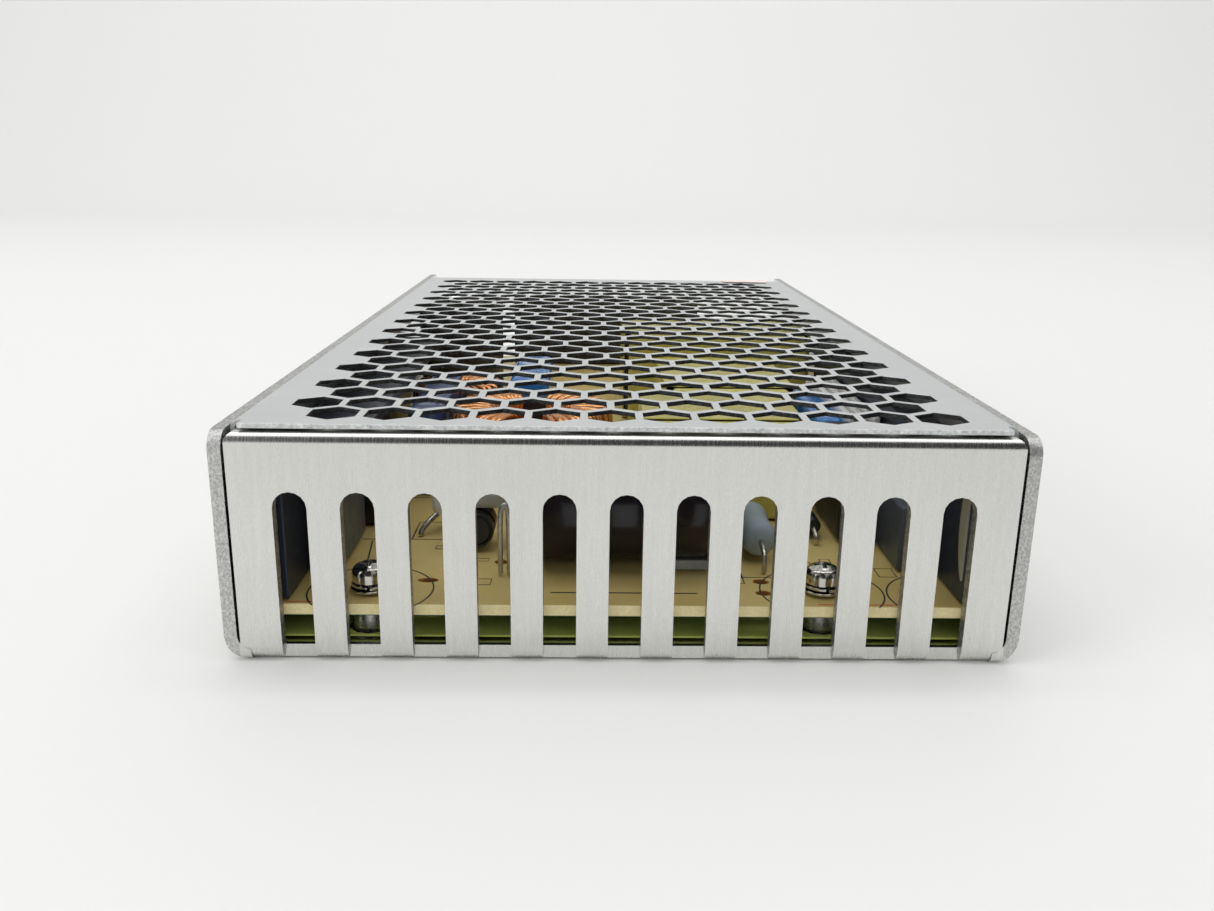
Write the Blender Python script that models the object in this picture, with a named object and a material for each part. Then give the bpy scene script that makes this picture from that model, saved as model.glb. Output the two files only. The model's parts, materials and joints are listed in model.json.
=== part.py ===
"""Enclosed low-profile switching power supply, modelled in metres with +Z up.

The slotted end wall faces -Y, the terminal end faces +Y, and the underside rests on z = 0.
Sizes below are written in millimetres and scaled to metres when a mesh is made.  Positions
along the length are given as a depth behind the outer face of the slotted end wall.
"""
import math

import bmesh
import bpy
from mathutils import Matrix, Vector

MM = 0.001

# Overall size and the gap left between pieces that touch.
BODY_LENGTH = 179.0
BODY_WIDTH = 99.0
SIDE_TOP = 29.45
FRONT_Y = -BODY_LENGTH / 2
GAP = 0.3

# Folded aluminium chassis.
SHEET = 1.6
HALF_WIDTH = BODY_WIDTH / 2
INNER_HALF = HALF_WIDTH - SHEET
SIDE_BEND = 3.5
WALL_HALF = 47.55
WALL_TOP = 29.4
WALL_CORNER = 1.3
WALL_ROUND = 1.3
WALL_LIP = 4.4
WALL_BEND = 2.0
SLOT_COUNT = 11
SLOT_PITCH = 8.07
SLOT_RADIUS = 2.05
SLOT_ARC_Z = 20.1
SLOT_FOOT = 0.9

# Perforated steel cover.
COVER_THICK = 0.6
COVER_TOP = 30.3
COVER_HALF = INNER_HALF - GAP
COVER_START = 0.9
COVER_END = 163.4
FLANGE_LOW = 23.2
HEX_PITCH = 6.84
HEX_FLATS = 5.85
HEX_ROW = HEX_PITCH * math.sqrt(3) / 2
HEX_FIRST_X = -36.06
HEX_FIRST_DEPTH = 6.66
HEX_ROWS = 26
HEX_COLUMNS = 12

# Circuit board, its spacers and its screws.
BOARD_LOW = 5.25
BOARD_TOP = 6.85
BOARD_HALF = 46.4
BOARD_START = 2.3
BOARD_END = 176.5
ON_BOARD = BOARD_TOP + GAP
BOARD_SCREWS = ((-32.6, 6.7), (25.9, 7.0), (-33.0, 156.0), (34.0, 156.0))
SCREW_SIDES = 14

# Terminal block with captive clamp plates.
TERMINAL_COUNT = 5
TERMINAL_PITCH = 9.5
TERMINAL_START = 164.6
TERMINAL_END = 177.6
TERMINAL_TOP = 25.4
TERMINAL_FLOOR = 11.4
TERMINAL_SCREW_DEPTH = 170.8

# Cover screws in the side walls.
COVER_SCREW_DEPTH = 84.0
COVER_SCREW_Z = 26.2

# Trimmer beside the terminal block.
TRIMMER_X = 34.0
TRIMMER_DEPTH = 170.0


def place(x, depth, z):
    """Millimetre position (across, depth behind the front, height) as a metre vector."""
    return Vector((x * MM, (FRONT_Y + depth) * MM, z * MM))


def paint(name, colour, roughness, metallic=0.0):
    material = bpy.data.materials.new(name)
    material.use_nodes = True
    shader = material.node_tree.nodes["Principled BSDF"]
    shader.inputs["Base Color"].default_value = (*colour, 1.0)
    shader.inputs["Roughness"].default_value = roughness
    shader.inputs["Metallic"].default_value = metallic
    material.diffuse_color = (*colour, 1.0)
    return material


def add_mesh(name, points, faces, material=None):
    """Object from metre points; face directions are made to point outward."""
    mesh = bpy.data.meshes.new(name)
    mesh.from_pydata([tuple(point) for point in points], [], faces)
    shape = bmesh.new()
    shape.from_mesh(mesh)
    bmesh.ops.recalc_face_normals(shape, faces=shape.faces)
    shape.to_mesh(mesh)
    shape.free()
    if material:
        mesh.materials.append(material)
    thing = bpy.data.objects.new(name, mesh)
    bpy.context.scene.collection.objects.link(thing)
    return thing


def box(name, across, depth, height, material=None):
    corners = [place(x, d, z) for x in across for d in depth for z in height]
    faces = [(0, 1, 3, 2), (4, 6, 7, 5), (0, 4, 5, 1), (2, 3, 7, 6), (0, 2, 6, 4), (1, 5, 7, 3)]
    return add_mesh(name, corners, faces, material)


def extrude(name, outline, axis, low, high, material=None):
    """Prism: outline is (depth, z) for axis x, (x, z) for axis y, (x, depth) for axis z."""
    makers = {
        "x": lambda a, b, along: place(along, a, b),
        "y": lambda a, b, along: place(a, along, b),
        "z": lambda a, b, along: place(a, b, along),
    }
    count = len(outline)
    points = [makers[axis](a, b, low) for a, b in outline]
    points += [makers[axis](a, b, high) for a, b in outline]
    faces = [tuple(range(count)), tuple(range(2 * count - 1, count - 1, -1))]
    for index in range(count):
        following = (index + 1) % count
        faces.append((index, following, following + count, index + count))
    return add_mesh(name, points, faces, material)


def turned(name, profile, centre, axis="z", sides=24, material=None, phase=0.0):
    """Solid of revolution; profile is (radius, distance along the axis), open at zero radius."""
    origin = place(*centre)
    points = []
    rings = []
    for radius, along in profile:
        ring = []
        steps = 1 if radius == 0.0 else sides
        for step in range(steps):
            angle = 2 * math.pi * (step + phase) / sides
            u = radius * math.cos(angle) * MM
            v = radius * math.sin(angle) * MM
            w = along * MM
            local = {"x": (w, u, v), "y": (u, w, v), "z": (u, v, w)}[axis]
            ring.append(len(points))
            points.append(origin + Vector(local))
        rings.append(ring)
    faces = []
    closed = profile[0][0] > 0.0
    pairs = list(zip(rings, rings[1:]))
    if closed:
        pairs.append((rings[-1], rings[0]))
    for first, second in pairs:
        for step in range(sides):
            a = first[step % len(first)]
            b = first[(step + 1) % len(first)]
            c = second[(step + 1) % len(second)]
            d = second[step % len(second)]
            corners = []
            for corner in (a, b, c, d):
                if corner not in corners:
                    corners.append(corner)
            faces.append(tuple(corners))
    return add_mesh(name, points, faces, material)


def wire(name, path, radius, sides=8, material=None):
    """Closed round bar along a list of millimetre positions."""
    stations = [place(*point) for point in path]
    points = []
    side_way = None
    for index, station in enumerate(stations):
        before = stations[max(index - 1, 0)]
        after = stations[min(index + 1, len(stations) - 1)]
        along = (after - before).normalized()
        if side_way is None:
            side_way = along.orthogonal().normalized()
        side_way = (side_way - along * side_way.dot(along)).normalized()
        up_way = along.cross(side_way)
        for step in range(sides):
            angle = 2 * math.pi * step / sides
            ring_way = side_way * math.cos(angle) + up_way * math.sin(angle)
            points.append(station + ring_way * radius * MM)
    faces = [tuple(range(sides)), tuple(range(len(points) - 1, len(points) - sides - 1, -1))]
    for index in range(len(stations) - 1):
        for step in range(sides):
            following = (step + 1) % sides
            a = index * sides + step
            b = index * sides + following
            faces.append((a, b, b + sides, a + sides))
    return add_mesh(name, points, faces, material)


def boolean(target, tool, operation):
    """Join or cut and keep the finished mesh; the tool object is removed."""
    change = target.modifiers.new("change", "BOOLEAN")
    change.operation = operation
    change.solver = "EXACT"
    change.object = tool
    graph = bpy.context.evaluated_depsgraph_get()
    finished = bpy.data.meshes.new_from_object(target.evaluated_get(graph))
    target.modifiers.remove(change)
    target.data = finished
    bpy.data.objects.remove(tool, do_unlink=True)


def cut(target, tool):
    boolean(target, tool, "DIFFERENCE")


def join(target, tool):
    boolean(target, tool, "UNION")


def smooth(thing, angle=40.0):
    thing.data.shade_smooth()
    thing.data.set_sharp_from_angle(angle=math.radians(angle))


def move_origin(thing, centre):
    """Put the object origin on a joint axis without moving its shape."""
    spot = place(*centre)
    thing.data.transform(Matrix.Translation(-spot))
    thing.location = spot


def arc(centre_a, centre_b, radius, start, end, steps):
    angles = [math.radians(start + (end - start) * step / steps) for step in range(steps + 1)]
    return [(centre_a + radius * math.cos(a), centre_b + radius * math.sin(a)) for a in angles]


def rounded_box(name, across, depth, height, corner, material):
    """Upright block with rounded vertical corners."""
    outline = []
    centres = (
        (across[1] - corner, depth[1] - corner, 0),
        (across[0] + corner, depth[1] - corner, 90),
        (across[0] + corner, depth[0] + corner, 180),
        (across[1] - corner, depth[0] + corner, 270),
    )
    for x, d, start in centres:
        outline += arc(x, d, corner, start, start + 90, 3)
    return extrude(name, outline, "z", height[0], height[1], material)


def channel(half, low, high, thick, bend, steps, flip=False):
    """Outline of a U made from bent sheet; flip turns the open side downward."""
    inner = bend - thick
    if flip:
        outline = [(half, low)] + arc(half - bend, high - bend, bend, 0, 90, steps)
        outline += arc(-half + bend, high - bend, bend, 90, 180, steps) + [(-half, low)]
        outline += [(-half + thick, low)] + arc(-half + bend, high - bend, inner, 180, 90, steps)
        outline += arc(half - bend, high - bend, inner, 90, 0, steps) + [(half - thick, low)]
        return outline
    outline = [(-half, high)] + arc(-half + bend, low + bend, bend, 180, 270, steps)
    outline += arc(half - bend, low + bend, bend, 270, 360, steps) + [(half, high)]
    outline += [(half - thick, high)] + arc(half - bend, low + bend, inner, 360, 270, steps)
    outline += arc(-half + bend, low + bend, inner, 270, 180, steps) + [(-half + thick, high)]
    return outline


def make_chassis(material):
    sides = channel(HALF_WIDTH, 0.0, SIDE_TOP, SHEET, SIDE_BEND, 6)
    chassis = extrude("chassis", sides, "y", 0.0, BODY_LENGTH, material)
    cut(chassis, box("front_room", (-47.75, 47.75), (-1.0, 2.4), (2.6, 31.0)))
    cut(chassis, box("front_room", (-46.3, 46.3), (-1.0, 2.4), (-1.0, 3.0)))
    round_corner = [(-1.0, SIDE_TOP + 1.0), (-1.0, SIDE_TOP - 2.4)]
    round_corner += arc(2.4, SIDE_TOP - 2.4, 2.4, 180, 90, 5) + [(2.4, SIDE_TOP + 1.0)]
    cut(chassis, extrude("corner_tool", round_corner, "x", -60.0, 60.0))
    round_foot = [(-1.0, -1.0), (1.4, -1.0)] + arc(1.4, 1.4, 1.4, 270, 180, 4) + [(-1.0, 1.4)]
    cut(chassis, extrude("foot_tool", round_foot, "x", -60.0, 60.0))

    bend_z = WALL_TOP - WALL_ROUND
    wall = [(4.0, 0.0)] + arc(WALL_BEND, WALL_BEND, WALL_BEND, 270, 180, 5)
    wall += arc(WALL_ROUND, bend_z, WALL_ROUND, 180, 90, 8) + [(WALL_LIP, WALL_TOP), (WALL_LIP, WALL_TOP - SHEET)]
    wall += [(SHEET, WALL_TOP - SHEET)]
    wall += arc(WALL_BEND, WALL_BEND, WALL_BEND - SHEET, 180, 270, 3) + [(4.0, SHEET)]
    front = extrude("front_wall", wall, "x", -WALL_HALF, WALL_HALF)
    for side in (-1, 1):
        x, z = WALL_HALF - WALL_CORNER, WALL_TOP - WALL_CORNER
        outline = arc(x, z, WALL_CORNER, 0, 90, 4)
        outline += [(x, WALL_TOP + 1.0), (WALL_HALF + 1.0, WALL_TOP + 1.0), (WALL_HALF + 1.0, z)]
        cut(front, extrude("corner_tool", [(side * a, b) for a, b in outline], "y", -1.0, 6.0))
        lip_end = sorted((side * 46.6, side * (WALL_HALF + 1.0)))
        cut(front, box("lip_tool", lip_end, (2.4, 6.0), (bend_z - 1.0, WALL_TOP + 1.0)))
        foot_corner = [(side * a, b) for a, b in ((45.6, -1.0), (45.6, 0.02), (48.4, 0.78), (48.4, -1.0))]
        cut(front, extrude("foot_corner_tool", foot_corner, "y", -1.0, 6.0))
    for index in range(SLOT_COUNT):
        x = (index - (SLOT_COUNT - 1) / 2) * SLOT_PITCH
        outline = [(x - SLOT_RADIUS, WALL_BEND), (x + SLOT_RADIUS, WALL_BEND)]
        outline += arc(x, SLOT_ARC_Z, SLOT_RADIUS, 0, 180, 8)
        cut(front, extrude("slot_tool", outline, "y", -1.0, 3.0))
        across = (x - SLOT_RADIUS, x + SLOT_RADIUS)
        cut(front, box("slot_foot_tool", across, (-1.0, SLOT_FOOT), (-1.0, WALL_BEND + 0.5)))
    join(chassis, front)

    for side in (-1, 1):
        profile = [(0.0, -1.0), (3.2, -1.0), (3.2, 0.05), (1.9, 1.35), (1.9, 3.0), (0.0, 3.0)]
        turned_profile = [(radius, -side * along) for radius, along in profile]
        centre = (side * HALF_WIDTH, COVER_SCREW_DEPTH, COVER_SCREW_Z)
        cut(chassis, turned("sink_tool", turned_profile, centre, "x", SCREW_SIDES))
    smooth(chassis, 30)
    return chassis


def make_cover(material):
    outline = channel(COVER_HALF, FLANGE_LOW, COVER_TOP, COVER_THICK, 1.2, 4, flip=True)
    cover = extrude("cover", outline, "y", COVER_START, COVER_END, material)
    for side in (-1, 1):
        across = (side * (COVER_HALF - 1.5), side * (COVER_HALF + 1.0))
        cut(cover, box("notch_tool", across, (0.0, 3.0), (FLANGE_LOW - 1.0, 31.0)))
        centre = (side * COVER_HALF, COVER_SCREW_DEPTH, COVER_SCREW_Z)
        profile = [(0.0, -2.0), (1.8, -2.0), (1.8, 2.0), (0.0, 2.0)]
        cut(cover, turned("hole_tool", profile, centre, "x", SCREW_SIDES))

    radius = HEX_FLATS / math.sqrt(3)
    points = []
    faces = []
    for row in range(HEX_ROWS):
        depth = HEX_FIRST_DEPTH + row * HEX_ROW
        shift = -HEX_PITCH / 2 if row % 2 else 0.0
        for column in range(HEX_COLUMNS):
            x = HEX_FIRST_X + shift + column * HEX_PITCH
            base = len(points)
            for z in (COVER_TOP - COVER_THICK - 0.5, COVER_TOP + 0.5):
                for corner in range(6):
                    angle = math.radians(90 + 60 * corner)
                    reach_x, reach_d = radius * math.cos(angle), radius * math.sin(angle)
                    points.append(place(x + reach_x, depth + reach_d, z))
            low = [base + corner for corner in range(6)]
            high = [base + 6 + corner for corner in range(6)]
            faces += [tuple(reversed(low)), tuple(high)]
            for corner in range(6):
                following = (corner + 1) % 6
                faces.append((low[corner], low[following], high[following], high[corner]))
    cut(cover, add_mesh("hex_tool", points, faces))
    smooth(cover, 30)
    return cover


def make_board(material):
    size = (-BOARD_HALF, BOARD_HALF), (BOARD_START, BOARD_END), (BOARD_LOW, BOARD_TOP)
    board = box("circuit_board", *size, material)
    holes = [(x, d, 1.8, 1.8) for x, d in BOARD_SCREWS]
    holes += [(-25.7, 10.1, 1.35, 0.7), (-16.6, 16.8, 0.9, 0.9), (18.5, 10.3, 1.1, 0.8), (18.3, 6.5, 1.1, 0.8)]
    for x, depth, half_x, half_d in holes:
        outline = [(x + a * half_x, depth + b * half_d) for a, b in arc(0.0, 0.0, 1.0, 0, 330, 11)]
        cut(board, extrude("board_tool", outline, "z", BOARD_LOW - 1.0, BOARD_TOP + 1.0))
    return board


def make_sheet(material):
    low = SHEET + GAP
    sheet = box("insulating_sheet", (-45.5, 45.5), (3.4, 175.0), (low, low + 0.25), material)
    for x, depth in BOARD_SCREWS:
        outline = arc(x, depth, 3.0, 0, 330, 11)
        cut(sheet, extrude("sheet_tool", outline, "z", 0.5, 4.0))
    return sheet


def make_board_fixings(silver, steel):
    for number, (x, depth) in enumerate(BOARD_SCREWS, start=1):
        low, high = SHEET + GAP, BOARD_LOW - GAP
        spacer_profile = [(1.75, low), (2.4, low), (2.4, high), (1.75, high)]
        spacer = turned(f"standoff_{number}", spacer_profile, (x, depth, 0.0), "z", SCREW_SIDES, silver)
        smooth(spacer)
        base = ON_BOARD
        head = base + 1.3
        profile = [(0.0, 2.2), (1.45, 2.2), (1.45, base), (2.55, base), (2.55, base + 0.4), (2.2, base + 0.4)]
        profile += [(2.2, head), (2.35, head + 0.25)]
        profile += [(2.35, head + 1.3), (2.1, head + 1.95), (1.5, head + 2.25), (0.0, head + 2.3)]
        screw = turned(f"board_screw_{number}", profile, (x, depth, 0.0), "z", SCREW_SIDES, steel)
        for half_x, half_d in ((1.25, 0.28), (0.28, 1.25)):
            across = (x - half_x, x + half_x)
            along = (depth - half_d, depth + half_d)
            cut(screw, box("recess_tool", across, along, (head + 1.1, head + 3.4)))
        smooth(screw)


def make_capacitor(name, centre, radius, length, axis, material):
    """Can with a crimp groove near the sealed end and softened end edges."""
    edge = radius * 0.1
    groove = radius * 0.92
    profile = [(0.0, 0.0), (radius - edge, 0.0), (radius, edge), (radius, 1.6), (groove, 2.0), (groove, 2.4)]
    profile += [(radius, 2.8), (radius, length - edge), (radius - edge, length), (0.0, length)]
    can = turned(name, profile, centre, axis, 24 if radius > 6 else 16, material)
    smooth(can, 50)
    return can


def make_transformer(prefix, across, depth, top, leg, tape_inset, ferrite, tape):
    """Ferrite ring standing across the board, the coil through it and a tape band around it.

    The coil widens in front of the ring and behind it into pads that cover the ring's legs.
    """
    low = ON_BOARD + 0.8
    x0, x1 = across
    middle0 = depth[0] + leg
    middle1 = depth[1] - leg
    core = box(f"{prefix}_core", across, (middle0, middle1), (low, top), ferrite)
    window = box("window_tool", (x0 + 4.2, x1 - 4.2), (middle0 - 1, middle1 + 1), (low + 3.6, top - 3.6))
    cut(core, window)
    wound = box(f"{prefix}_coil", (x0 + 4.6, x1 - 4.6), (depth[0] + 1, depth[1] - 1), (low + 4.0, top - 4.0), tape)
    for along in ((depth[0], middle0 - GAP), (middle1 + GAP, depth[1])):
        join(wound, rounded_box("pad_tool", (x0 + 0.4, x1 - 0.4), along, (ON_BOARD, top + 0.5), 0.8, tape))
    along = (middle0 + tape_inset, middle1 - tape_inset)
    band = box(f"{prefix}_tape", (x0 - 0.75, x1 + 0.75), along, (low - 0.75, top + 0.75), tape)
    cut(band, box("band_tool", (x0 - GAP, x1 + GAP), (middle0 - 1, middle1 + 1), (low - GAP, top + GAP)))


def make_ring_choke(ferrite, copper):
    """Flat ring core with two half coils wound around it."""
    centre_x, centre_d = -14.2, 53.6
    core_profile = [(7.6, 10.0), (11.9, 10.0), (11.9, 19.8), (7.6, 19.8)]
    core = turned("line_choke_core", core_profile, (centre_x, centre_d, 0.0), "z", 24, ferrite)
    smooth(core)
    outer = [(6.2, 9.8), (7.0, 8.4), (12.7, 8.4), (13.6, 9.8)]
    outer += [(13.6, 20.2), (12.7, 21.6), (7.0, 21.6), (6.2, 20.2)]
    inner_ring = [(7.3, 9.7), (12.2, 9.7), (12.2, 20.1), (7.3, 20.1)]
    for name, start in (("line_choke_coil_left", 105.0), ("line_choke_coil_right", -75.0)):
        steps = 10
        points = []
        for step in range(steps + 1):
            angle = math.radians(start + 150.0 * step / steps)
            for radius, z in outer + inner_ring:
                x = centre_x + radius * math.cos(angle)
                depth = centre_d + radius * math.sin(angle)
                points.append(place(x, depth, z))
        width = len(outer) + len(inner_ring)
        faces = []
        for step in range(steps):
            here = step * width
            for ring_start, count in ((0, 8), (8, 4)):
                for index in range(count):
                    a = here + ring_start + index
                    b = here + ring_start + (index + 1) % count
                    faces.append((a, b, b + width, a + width))
        for here in (0, steps * width):
            for corner in range(4):
                outer_a = here + 2 * corner
                faces.append((outer_a, outer_a + 1, here + 8 + corner))
                outer_c = here + (2 * corner + 2) % 8
                faces.append((outer_a + 1, outer_c, here + 8 + (corner + 1) % 4, here + 8 + corner))
        smooth(add_mesh(name, points, faces, copper), 50)


def make_terminals(black, silver, steel):
    half = TERMINAL_COUNT * TERMINAL_PITCH / 2 + 1.2
    length = (TERMINAL_START, TERMINAL_END)
    block = box("terminal_block", (-half, half), length, (ON_BOARD, TERMINAL_TOP), black)
    centres = [(index - (TERMINAL_COUNT - 1) / 2) * TERMINAL_PITCH for index in range(TERMINAL_COUNT)]
    for x in centres:
        along = (TERMINAL_START + 1.8, TERMINAL_END + 1.0)
        cut(block, box("pocket_tool", (x - 4.0, x + 4.0), along, (TERMINAL_FLOOR, TERMINAL_TOP + 1.0)))
        hole = [(0.0, 8.4), (2.05, 8.4), (2.05, 12.4), (0.0, 12.4)]
        cut(block, turned("hole_tool", hole, (x, TERMINAL_SCREW_DEPTH, 0.0), "z", SCREW_SIDES))
    for number, x in enumerate(centres, start=1):
        plate_low = TERMINAL_FLOOR + GAP
        clamp = box(
            f"clamp_plate_{number}",
            (x - 3.6, x + 3.6),
            (TERMINAL_SCREW_DEPTH - 3.6, TERMINAL_SCREW_DEPTH + 3.6),
            (plate_low, plate_low + 1.0),
            silver,
        )
        hole = [(0.0, plate_low - 1), (2.05, plate_low - 1), (2.05, plate_low + 2), (0.0, plate_low + 2)]
        cut(clamp, turned("hole_tool", hole, (x, TERMINAL_SCREW_DEPTH, 0.0), "z", SCREW_SIDES))
        move_origin(clamp, (x, TERMINAL_SCREW_DEPTH, plate_low))
        head = plate_low + 1.0 + GAP
        profile = [(0.0, 9.0), (1.75, 9.0), (1.75, head), (3.2, head), (3.3, head + 0.3)]
        profile += [(3.3, head + 1.2), (3.0, head + 1.9), (2.1, head + 2.3), (0.0, head + 2.4)]
        centre = (x, TERMINAL_SCREW_DEPTH, 0.0)
        screw = turned(f"terminal_screw_{number}", profile, centre, "z", SCREW_SIDES, steel)
        for half_x, half_d in ((1.9, 0.4), (0.4, 1.9)):
            across = (x - half_x, x + half_x)
            depth = (TERMINAL_SCREW_DEPTH - half_d, TERMINAL_SCREW_DEPTH + half_d)
            cut(screw, box("recess_tool", across, depth, (head + 0.9, head + 4.0)))
        smooth(screw)
        move_origin(screw, (x, TERMINAL_SCREW_DEPTH, head))


def make_resistor(body_paint):
    profile = [(0.0, 0.0), (1.7, 0.0), (2.45, 0.7), (2.5, 2.6), (2.3, 3.4)]
    profile += [(2.3, 8.6), (2.5, 9.4), (2.45, 11.3), (1.7, 12.0), (0.0, 12.0)]
    x, z = 19.3, 10.15
    resistor = turned("power_resistor", profile, (x, 16.4, z), "y", 16, body_paint)
    for near, bend, foot in ((17.0, 14.4, 12.9), (27.8, 30.4, 31.9)):
        middle = (bend + foot) / 2
        path = [(x, near, z), (x, bend, z), (x, middle, z - 0.4), (x, foot, z - 1.4), (x, foot, ON_BOARD)]
        join(resistor, wire("lead_tool", path, 0.36))
    smooth(resistor)


def make_small_parts(black, navy, blue, silver, white, copper):
    path = [(-16.3, 11.8, ON_BOARD), (-16.3, 11.8, 15.0), (-16.1, 12.0, 16.2), (-15.7, 12.2, 16.8)]
    path += [(-15.3, 12.2, 16.2), (-15.1, 12.0, 15.0), (-15.1, 11.8, ON_BOARD)]
    smooth(wire("wire_link", path, 0.34, 8, silver))
    profile = [(0.0, 0.0), (1.7, 0.2), (2.2, 1.2), (2.2, 7.4), (1.7, 8.4), (0.0, 8.6)]
    body = turned("upright_resistor", profile, (-25.8, 30.0, 9.3), "z", 12, white)
    path = [(-29.2, 26.6, ON_BOARD), (-28.9, 27.0, 8.0), (-26.8, 29.0, 9.9), (-25.8, 30.0, 10.6)]
    join(body, wire("lead_tool", path, 0.4))
    smooth(body)
    profile = [(0.0, 0.0), (1.0, 0.0), (1.3, 0.3), (1.3, 4.2), (1.0, 4.5), (0.0, 4.5)]
    diode = turned("small_diode", profile, (28.7, 26.6, 8.8), "y", 12, black)
    for near, bend, foot in ((26.8, 25.4, 24.2), (30.9, 32.1, 33.2)):
        path = [(28.7, near, 8.8), (28.7, bend, 8.8), (28.8, foot, 8.1), (28.8, foot, ON_BOARD)]
        join(diode, wire("lead_tool", path, 0.35))
    smooth(diode)
    rounded_box("film_capacitor", (-19.4, -12.0), (70.6, 96.0), (ON_BOARD, 21.6), 1.0, blue)
    rounded_box("line_capacitor", (-34.0, -28.6), (46.0, 76.0), (ON_BOARD, 21.6), 0.8, navy)
    rounded_box("input_capacitor", (-39.0, -34.8), (30.6, 38.8), (ON_BOARD, 19.0), 0.8, black)
    rounded_box("safety_capacitor", (32.0, 36.4), (42.0, 66.0), (ON_BOARD, 21.6), 0.8, blue)
    comb = [(37.2, ON_BOARD), (42.2, ON_BOARD), (42.2, 21.6), (41.2, 21.6), (41.2, 17.6), (40.2, 17.6)]
    comb += [(40.2, 21.6), (39.2, 21.6), (39.2, 17.6), (38.2, 17.6), (38.2, 21.6), (37.2, 21.6)]
    extrude("ribbed_insulator", comb, "y", 43.0, 78.0, white)
    ring = [(3.6, 8.4), (8.6, 8.4), (9.2, 9.6), (9.2, 17.0)]
    ring += [(8.6, 18.2), (3.6, 18.2), (3.0, 17.0), (3.0, 9.6)]
    smooth(turned("filter_choke", ring, (-30.6, 86.0, 0.0), "z", 20, copper))


def make_heat_spreaders(metal, black, slate):
    """Upright aluminium plates beside the long walls with power devices screwed to them."""
    plates = {"left": (-45.0, -42.0), "right": (42.7, 45.7)}
    for side, plate in plates.items():
        inner, outer = (plate[1], plate[0]) if side == "left" else (plate[0], plate[1])
        tip = inner + (7.0 if side == "left" else -1.5)
        outline = [(outer, ON_BOARD), (outer, 25.2), (tip, 25.2), (tip, 23.5)]
        outline += [(inner, 23.5), (inner, ON_BOARD)]
        extrude(f"heat_spreader_{side}", outline, "y", 2.9, 96.0, metal)
    foot = ON_BOARD + 0.6
    rounded_box("power_device_left", (-41.7, -37.3), (13.0, 27.0), (foot, 21.6), 0.5, slate)
    tab = [(37.6, ON_BOARD), (42.4, ON_BOARD), (42.4, 21.6), (40.6, 21.6), (40.6, 16.2), (37.6, 16.2)]
    extrude("power_device_right", tab, "y", 13.6, 31.0, slate)
    rounded_box("output_rectifier", (31.9, 37.2), (24.6, 41.0), (ON_BOARD + 0.4, 21.5), 0.5, black)


def make_output_side(black, blue, white):
    make_capacitor("output_capacitor", (-35.6, 134.0, ON_BOARD), 10.0, 21.0, "z", black)
    x, depth = TRIMMER_X, TRIMMER_DEPTH
    box("trimmer_body", (x - 3.4, x + 3.4), (depth - 3.4, depth + 3.4), (ON_BOARD, ON_BOARD + 4.6), blue)
    knob = [(0.0, 0.0), (2.3, 0.0), (2.3, 0.9), (2.0, 1.2), (0.0, 1.2)]
    base = ON_BOARD + 4.6 + GAP
    rotor = turned("trimmer_rotor", knob, (x, depth, base), "z", 18, white)
    cut(rotor, box("slot_tool", (x - 3.0, x + 3.0), (depth - 0.3, depth + 0.3), (base + 0.5, base + 3.0)))
    smooth(rotor)
    move_origin(rotor, (x, depth, base))


def make_cover_screws(steel):
    for name, side in (("cover_screw_left", -1), ("cover_screw_right", 1)):
        profile = [(0.0, 0.0), (2.75, 0.0), (2.75, 0.25), (1.5, 1.5), (1.5, 3.4), (0.0, 3.4)]
        placed = [(radius, -side * along) for radius, along in profile]
        centre = (side * (HALF_WIDTH - 0.15), COVER_SCREW_DEPTH, COVER_SCREW_Z)
        screw = turned(name, placed, centre, "x", SCREW_SIDES, steel)
        x0, x1 = sorted((side * (HALF_WIDTH + 1.0), side * (HALF_WIDTH - 0.9)))
        for half_d, half_z in ((1.5, 0.3), (0.3, 1.5)):
            depth = (COVER_SCREW_DEPTH - half_d, COVER_SCREW_DEPTH + half_d)
            height = (COVER_SCREW_Z - half_z, COVER_SCREW_Z + half_z)
            cut(screw, box("recess_tool", (x0, x1), depth, height))
        smooth(screw)


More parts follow.
